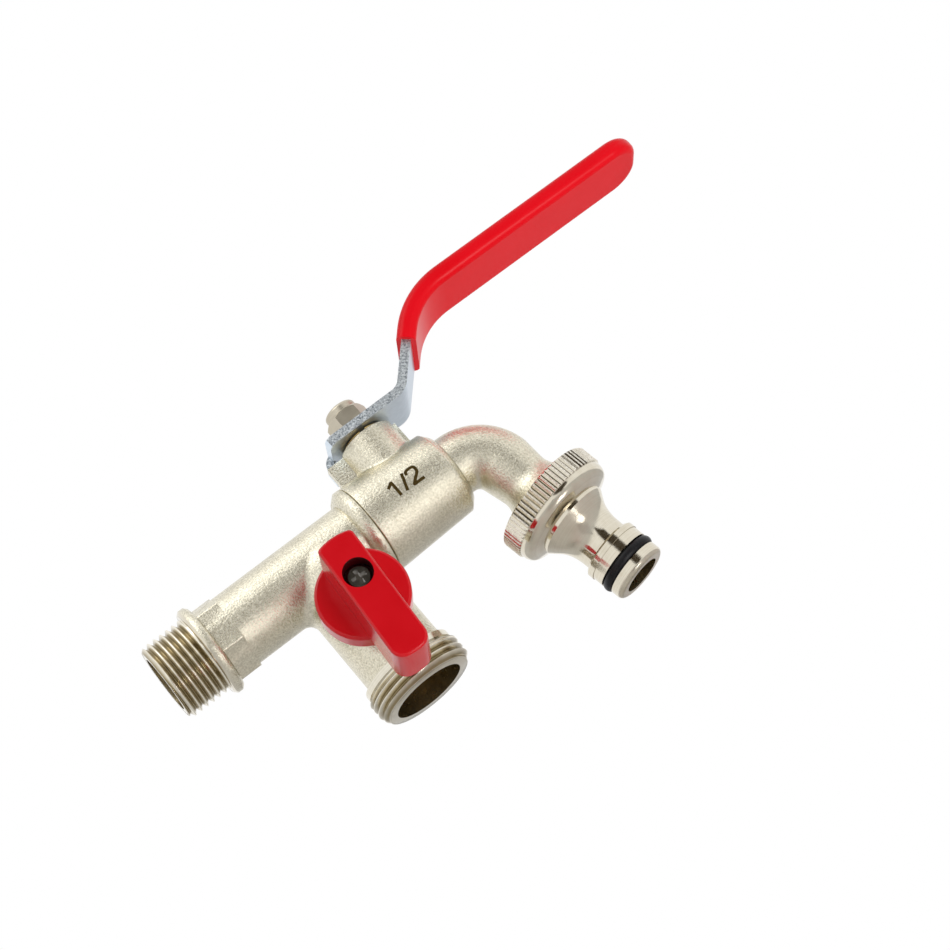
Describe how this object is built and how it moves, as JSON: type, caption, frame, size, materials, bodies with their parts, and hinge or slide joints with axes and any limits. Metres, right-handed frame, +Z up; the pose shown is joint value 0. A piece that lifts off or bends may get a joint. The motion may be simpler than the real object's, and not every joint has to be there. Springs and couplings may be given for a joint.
{
  "type": "garden tap",
  "caption": "Wall tap with a lever ball valve, a gooseneck spout carrying a click-on hose connector, and a side branch with its own wing-handled ball valve and threaded outlet.",
  "frame": {"origin": "middle of the inlet flange's wall face, on the inlet thread's axis", "axes": "+X along the pipe from the wall to the spout, +Z up to the lever, -Y to the side handle"},
  "size_m": [0.182, 0.0482, 0.0966],
  "materials": {
    "nickel_forging": "blasted brass forging under satin nickel plate, threads bright",
    "nickel_turned": "turned brass under bright nickel plate",
    "zinc_steel": "bright zinc plate",
    "red_vinyl": "glossy dipped vinyl",
    "red_paint": "glossy paint on a casting",
    "bare_brass": "bare turned brass",
    "chrome_ball": "polished chrome plate",
    "ptfe": "white seal plastic",
    "black_rubber": "black seal rubber"
  },
  "bodies": {
    "tap": {"tee_body": "nickel_forging", "spout_body": "nickel_forging", "main_seat_inlet": "ptfe", "main_seat_outlet": "ptfe", "main_thrust_washer": "ptfe", "main_packing": "ptfe", "gland_nut": "bare_brass", "side_seat_inner": "ptfe", "side_seat_outer": "ptfe", "side_thrust_washer": "ptfe", "side_retainer": "bare_brass", "hose_connector": "nickel_turned", "connector_washer": "black_rubber", "connector_o_ring": "black_rubber"},
    "main_lever": {"lever": "zinc_steel", "lever_grip": "red_vinyl", "lever_nut": "zinc_steel", "main_stem": "bare_brass", "main_ball": "chrome_ball"},
    "side_valve_handle": {"side_handle": "red_paint", "side_handle_screw": "zinc_steel", "side_stem": "bare_brass", "side_stem_seal": "black_rubber", "side_ball": "chrome_ball"}
  },
  "joints": [
    {"name": "main_lever_turn", "type": "hinge", "parent": "tap", "child": "main_lever", "pos_m": [0.0645, 0, 0], "axis": [0, 0, 1], "range_deg": [-90, 0]},
    {"name": "side_handle_turn", "type": "hinge", "parent": "tap", "child": "side_valve_handle", "pos_m": [0.03606, 0, -0.0184], "axis": [0, -1, 0], "range_deg": [-86.5, 3.5]}
  ]
}
